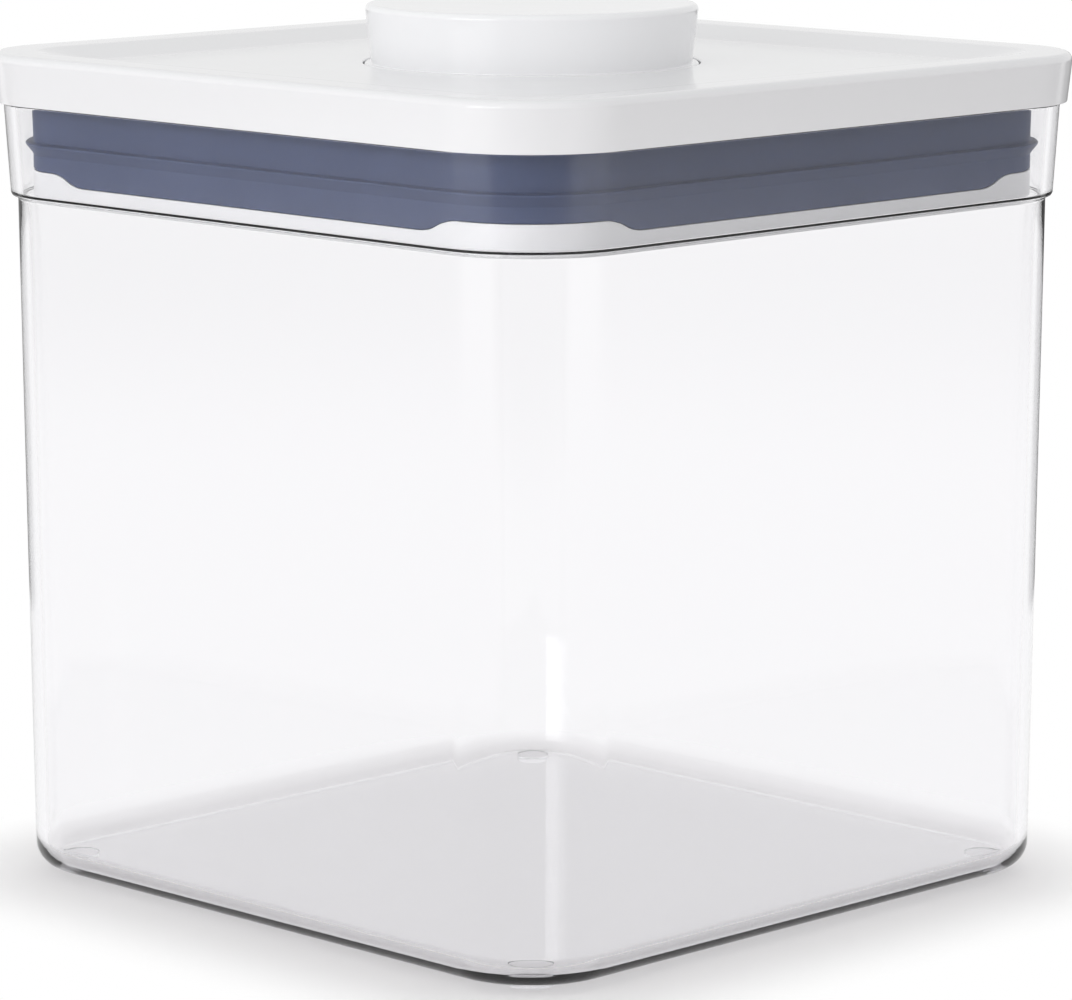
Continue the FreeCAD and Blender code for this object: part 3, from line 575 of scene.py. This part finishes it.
def build_cover():
    """White cover: drafted skirt, rounded crest, broad rim, sloped tray and button hole."""
    walk = LoopWalk("cover", SKIRT_HALF, LID_CENTRE, SKIRT_LEVEL, cuts=SKIRT_CUTS)
    skirt = [(79.08, 151.78), (79.14, 151.9)]
    crest = arc(78.4, 159.7, 1.6, 0, 90, 8)
    rim_brink = [(71.8, 161.3), (71.2, 161.27), (70.6, 161.17)]
    tray_foot = [(62.2, 159.42), (61.6, 159.31), (61.0, 159.24), (60.3, 159.2)]
    walk.follow(skirt + crest + rim_brink + tray_foot)
    hole = arc(32.75, 158.9, 0.3, 90, 180, 4) + [(32.45, 157.2), (32.65, 157.0)]
    walk.follow_circles(hole)
    gasket_ring = [
        (68.65, 157.0), (68.65, 155.7), (68.85, 155.5),
        (70.45, 155.5), (70.65, 155.7), (70.65, 157.0),
    ]
    walk.follow(gasket_ring, CANISTER_CENTRE)
    skirt_inside = [
        (76.55, 157.0), (76.75, 156.8), (76.75, 151.9),
        (76.9, SKIRT_LEVEL), (SKIRT_HALF, SKIRT_LEVEL),
    ]
    walk.follow(skirt_inside)
    smooth_mesh(walk.piece, SHARP_PLASTIC)
    dress(walk.piece, WHITE)
    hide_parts("lid_cover")
    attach(walk.piece, "lid")


def build_button():
    """Round push button: hollow inside, foot flange, ring flush with the tray, flared side, crest."""
    clear_selection()
    bpy.ops.mesh.primitive_circle_add(
        vertices=BUTTON_STEPS, radius=HOLLOW_RADIUS * MM, fill_type="NOTHING")
    piece = named_piece("button_cap")
    bpy.ops.object.mode_set(mode="EDIT")
    bpy.ops.mesh.select_all(action="SELECT")
    bpy.ops.transform.translate(value=(0, 0, HOLLOW_TOP * MM))
    bpy.ops.mesh.edge_face_add()
    flange = [
        (HOLLOW_RADIUS, 155.45), (29.15, 155.3), (33.9, 155.3),
        (34.1, 155.5), (34.1, 156.7), (33.9, 156.9),
    ]
    flush_ring = [
        (32.3, 156.9), (32.15, 157.05), (32.15, 158.92), (32.0, 159.08),
        (31.1, 159.1), (30.94, 159.17), (30.87, 159.4),
    ]
    crest = arc(30.8, 169.3, 1.2, 0, 90, 8)
    dished_top = [(29.6, 170.47), (24.0, 170.4), (12.0, 170.36)]
    bpy.ops.mesh.select_all(action="SELECT")
    bpy.ops.mesh.select_mode(type="EDGE")
    radius, level = HOLLOW_RADIUS, HOLLOW_TOP
    for new_radius, new_level in flange + flush_ring + crest + dished_top:
        bpy.ops.mesh.extrude_edges_indiv()
        ratio = new_radius / radius
        bpy.ops.transform.resize(value=(ratio, ratio, 1.0), center_override=(0, 0, 0))
        bpy.ops.transform.translate(value=(0, 0, (new_level - level) * MM))
        radius, level = new_radius, new_level
    bpy.ops.mesh.edge_face_add()
    smooth_mesh(piece, SHARP_PLASTIC)
    dress(piece, BUTTON_WHITE_PAINTED_BRIGHTER)
    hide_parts("push_button")
    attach(piece, "button")


def apron_level(low, high, half, ease):
    """Level along a side that is low in the middle and eases up to the corners on two arcs."""
    rise = high - low
    radius = (ease * ease + rise * rise) / (4 * rise)

    def level(x, y):
        along = min(abs(x), abs(y)) - half
        if along <= 0:
            return low
        if along >= ease:
            return high
        if along <= ease / 2:
            return low + radius - math.sqrt(radius * radius - along * along)
        return high - radius + math.sqrt(radius * radius - (ease - along) ** 2)

    return level


def build_gasket():
    """Silicone ring with one lip and a waved lower edge, cut where its sides move outwards."""
    low = apron_level(low=136.75, high=139.05, half=46.1, ease=9.0)

    def raised(x, y):
        return low(x, y) + 0.25

    walk = LoopWalk("gasket", GASKET_FOOT_HALF, CANISTER_CENTRE, low, cuts=GASKET_CUTS)
    wall = [(GASKET_HALF, raised), (GASKET_HALF, 141.9)]
    lip = [
        (73.16, 142.1), (74.42, 143.72), (74.58, 144.0), (74.58, 144.2),
        (74.4, 144.38), (73.4, 144.42), (73.16, 144.55),
    ]
    upper_wall = [(GASKET_HALF, 144.8), (GASKET_HALF, 156.7), (72.85, 156.95)]
    inside = [(70.95, 156.95), (70.7, 156.7), (70.7, raised), (70.95, low), (GASKET_FOOT_HALF, low)]
    walk.follow(wall + lip + upper_wall + inside)
    close_mesh(walk.piece)
    draw_in_lip(walk.piece)
    dress(walk.piece, SILICONE)
    split_gasket(walk.piece)


def draw_in_lip(piece):
    """Draws the lip in along the sides, so that it just meets the collar when they are out."""
    for vert in piece.data.vertices:
        axis = 0 if abs(vert.co.x) > abs(vert.co.y) else 1
        past_wall = abs(vert.co[axis]) - GASKET_HALF * MM
        from_split = SPLIT - abs(vert.co[1 - axis])
        if past_wall > 0 and from_split > 0:
            share = min(1.0, from_split / (SPLIT - FULL_TRAVEL))
            vert.co[axis] -= math.copysign(LIP_DRAW * share * past_wall, vert.co[axis])


def split_gasket(gasket):
    """Parts the ring into corners, which stay with the lid, and eight half sides, each closed at its
    ends.
    """
    for name, outward in SIDES.items():
        along = Vector((-outward.y, outward.x, 0))
        for end, sign in (("a", 1), ("b", -1)):
            piece = take_faces(
                gasket, f"gasket_{name}_{end}",
                lambda c: c.dot(outward) > SPLIT and 0 < sign * c.dot(along) < SPLIT)
            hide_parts("seal_gasket")
            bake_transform(piece)
    gasket.name = "gasket_corners"
    cap_ends(gasket, SHARP_SILICONE)
    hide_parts("seal_gasket")
    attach(gasket, "lid")


def take_faces(source, name, chosen):
    """Moves the faces whose middle is chosen to a new piece and closes its ends."""
    edit_bare(source, "FACE")
    mesh = bmesh.from_edit_mesh(source.data)
    for face in mesh.faces:
        face.select_set(chosen(face.calc_center_median()))
    bmesh.update_edit_mesh(source.data)
    bpy.ops.mesh.separate(type="SELECTED")
    bpy.ops.object.mode_set(mode="OBJECT")
    piece = next(o for o in bpy.context.selected_objects if o is not source)
    piece.name = name
    piece.data.name = name
    cap_ends(piece, SHARP_SILICONE)
    return piece


def cap_ends(piece, sharp):
    """Closes a piece's open ends and smooths it."""
    edit_bare(piece, "EDGE")
    bpy.ops.mesh.select_non_manifold()
    bpy.ops.mesh.fill_holes(sides=0)
    bpy.ops.object.mode_set(mode="OBJECT")
    smooth_mesh(piece, sharp)


def build_base():
    """White underside of the lid, with its edges broken."""
    piece = merged_copy("lid_base", "lid_underside")
    apply_modifier(
        piece, "BEVEL", width=0.25 * MM, segments=2, limit_method="ANGLE",
        angle_limit=math.radians(SHARP_PLASTIC), use_clamp_overlap=True)
    smooth_mesh(piece, SHARP_PLASTIC)
    dress(piece, BASE_WHITE)
    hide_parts("lid_base")
    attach(piece, "lid")


def build_spring():
    """Round-wire coil whose end turns close up."""
    turns = 6.0
    per_turn = 28
    ring_count = 12
    wire_radius = 0.58
    coil_radius = 6.8
    low, high = 135.7, 165.35
    even_share = 0.25
    clear_selection()
    bpy.ops.mesh.primitive_circle_add(
        vertices=ring_count, radius=wire_radius * MM, fill_type="NOTHING",
        location=(coil_radius * MM, 0, 0), rotation=(math.pi / 2, 0, 0))
    piece = named_piece("coil_spring")
    bpy.ops.object.transform_apply(location=True, rotation=True, scale=True)
    steps = int(turns * per_turn)
    apply_modifier(
        piece, "SCREW", axis="Z", angle=math.tau * turns, screw_offset=0.0,
        steps=steps, render_steps=steps, use_merge_vertices=False)
    bottom = low * MM
    climb = (high - low) * MM
    for index, vert in enumerate(piece.data.vertices):
        share = (index // ring_count) / steps
        eased = share * share * (3 - 2 * share)
        vert.co.z += bottom + climb * (even_share * share + (1 - even_share) * eased)
    cap_ends(piece, SHARP_WIRE)
    dress(piece, WIRE)
    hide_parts("return_spring")
    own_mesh(piece)
    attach(piece, "lid")


def build_latch():
    """Bent round wire: pivot leg, upright and the tip that follows the track."""
    x = 12.5 * MM
    wire_radius = 0.72
    leg, upright, tip = (0, -3.385, 0), (0, 0, 8.2), (0, -1.295, 0)
    lower_bend = ((x, 21.195 * MM, 140.4 * MM), math.pi / 2)
    upper_bend = ((x, 18.395 * MM, 148.6 * MM), -math.pi / 2)
    clear_selection()
    bpy.ops.mesh.primitive_circle_add(
        vertices=14, radius=wire_radius * MM, fill_type="NGON",
        location=(x, 24.58 * MM, 139.0 * MM), rotation=(math.pi / 2, 0, 0))
    piece = named_piece("latch_hook")
    bpy.ops.object.transform_apply(location=True, rotation=True, scale=True)
    bpy.ops.object.mode_set(mode="EDIT")
    bpy.ops.mesh.select_all(action="SELECT")
    for run, bend in ((leg, lower_bend), (upright, upper_bend), (tip, None)):
        bpy.ops.mesh.extrude_region()
        bpy.ops.transform.translate(value=[value * MM for value in run])
        if bend:
            centre, angle = bend
            bpy.ops.mesh.spin(steps=8, angle=angle, center=centre, axis=(1, 0, 0))
    smooth_mesh(piece, SHARP_WIRE)
    dress(piece, WIRE)
    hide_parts("latch_wire")
    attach(piece, "latch")


def dress_hidden_nodes():
    """The plunger and the pushers keep their CAD form."""
    for name in HIDDEN_NODES:
        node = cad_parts[name]
        node.data.materials.clear()
        node.data.materials.append(INNER)


def seen_background(nodes, links):
    """One for rays that show the background: direct, mirrored or through the plastic."""
    path = nodes.new("ShaderNodeLightPath")
    total = path.outputs["Is Camera Ray"]
    for name in ("Is Glossy Ray", "Is Transmission Ray"):
        total = maths(nodes, links, "MAXIMUM", total, path.outputs[name])
    return total


def build_sky():
    """White sky that lights the part a little less than it shows."""
    world = bpy.data.worlds.new("studio")
    bpy.context.scene.world = world
    world.use_nodes = True
    nodes = world.node_tree.nodes
    links = world.node_tree.links
    sky = nodes["Background"]
    strength = ranged(nodes, links, seen_background(nodes, links), SKY_LIGHT, 1.0)
    links.new(strength, sky.inputs["Strength"])
    sky.inputs["Color"].default_value = (1.0, 1.0, 1.0, 1.0)


def build_floor():
    """Pale floor that shows shade near the part and turns to plain white round it."""
    clear_selection()
    bpy.ops.mesh.primitive_plane_add(size=FLOOR_SIZE)
    floor = bpy.context.object
    floor.name = "floor"
    material, nodes, links, shader = new_material("floor")
    shader.inputs["Base Color"].default_value = (*FLOOR_COLOUR, 1.0)
    shader.inputs["Roughness"].default_value = 0.6
    glow = nodes.new("ShaderNodeEmission")
    place = nodes.new("ShaderNodeTexCoord")
    size = vector_maths(nodes, links, "ABSOLUTE", place.outputs["Object"])
    past = vector_maths(nodes, links, "SUBTRACT", size.outputs["Vector"], SHADE_SQUARE)
    outside = vector_maths(nodes, links, "MAXIMUM", past.outputs["Vector"])
    distance = vector_maths(nodes, links, "LENGTH", outside.outputs["Vector"])
    fade = ranged(
        nodes, links, distance.outputs["Value"], SHADE_WHITE, 1.0, SHADE_BEGIN, SHADE_END, smooth=True)
    factor = maths(nodes, links, "MULTIPLY", fade, seen_background(nodes, links))
    mix = nodes.new("ShaderNodeMixShader")
    links.new(factor, mix.inputs[0])
    links.new(shader.outputs["BSDF"], mix.inputs[1])
    links.new(glow.outputs["Emission"], mix.inputs[2])
    links.new(mix.outputs["Shader"], nodes["Material Output"].inputs["Surface"])
    floor.data.materials.append(material)


def add_lamp(name, place, aim, size, power):
    data = bpy.data.lights.new(name, "AREA")
    data.shape = "RECTANGLE"
    data.size = size[0]
    data.size_y = size[1]
    data.energy = power
    lamp = bpy.data.objects.new(name, data)
    lamp.location = place
    lamp.rotation_euler = (Vector(aim) - Vector(place)).to_track_quat("-Z", "Y").to_euler()
    bpy.context.scene.collection.objects.link(lamp)


def add_flag(name, place, size, strength, foot):
    """Upright panel that fades to white at its sides, foot and top, seen only in reflections."""
    clear_selection()
    bpy.ops.mesh.primitive_plane_add(size=1.0)
    flag = bpy.context.object
    flag.name = name
    flag.scale = (*size, 1.0)
    flag.location = place
    inwards = Vector((0, 0, place[2])) - Vector(place)
    flag.rotation_euler = inwards.to_track_quat("Z", "Y").to_euler()
    material, nodes, links, _ = new_material(name)
    axes = nodes.new("ShaderNodeSeparateXYZ")
    links.new(nodes.new("ShaderNodeTexCoord").outputs["UV"], axes.inputs["Vector"])
    across, height = axes.outputs["X"], axes.outputs["Y"]
    from_side = maths(nodes, links, "PINGPONG", across, 0.5)
    side_fade = ranged(nodes, links, from_side, 0.0, 1.0, 0.0, FLAG_SIDE_FADE, smooth=True)
    foot_fade = ranged(
        nodes, links, height, 0.0, 1.0, FLAG_FOOT_BARE * foot, foot, smooth=True)
    top_fade = ranged(nodes, links, height, 0.0, 1.0, 1.0, FLAG_TOP_FADE, smooth=True)
    upright = maths(nodes, links, "MULTIPLY", foot_fade, top_fade)
    both = maths(nodes, links, "MULTIPLY", side_fade, upright)
    glow = nodes.new("ShaderNodeEmission")
    links.new(ranged(nodes, links, both, 1.0, strength), glow.inputs["Strength"])
    links.new(glow.outputs["Emission"], nodes["Material Output"].inputs["Surface"])
    flag.data.materials.append(material)
    flag.visible_camera = False
    flag.visible_diffuse = False
    flag.visible_transmission = False
    flag.visible_shadow = False


def add_camera():
    data = bpy.data.cameras.new("photo view")
    data.sensor_width = SENSOR
    data.lens = LENS
    camera = bpy.data.objects.new("photo view", data)
    camera.location = EYE
    camera.rotation_euler = (AIM - EYE).to_track_quat("-Z", "Y").to_euler()
    bpy.context.scene.collection.objects.link(camera)
    bpy.context.scene.camera = camera


build_canister()
build_cover()
build_button()
build_gasket()
build_base()
build_spring()
build_latch()
dress_hidden_nodes()
build_sky()
build_floor()
add_lamp("key", place=(0.1, -1.4, 0.4), aim=(0, 0, 0.12), size=(0.8, 0.7), power=5.5)
for flag_values in FLAGS:
    add_flag(*flag_values)
add_camera()
bpy.context.scene.view_settings.view_transform = "Standard"
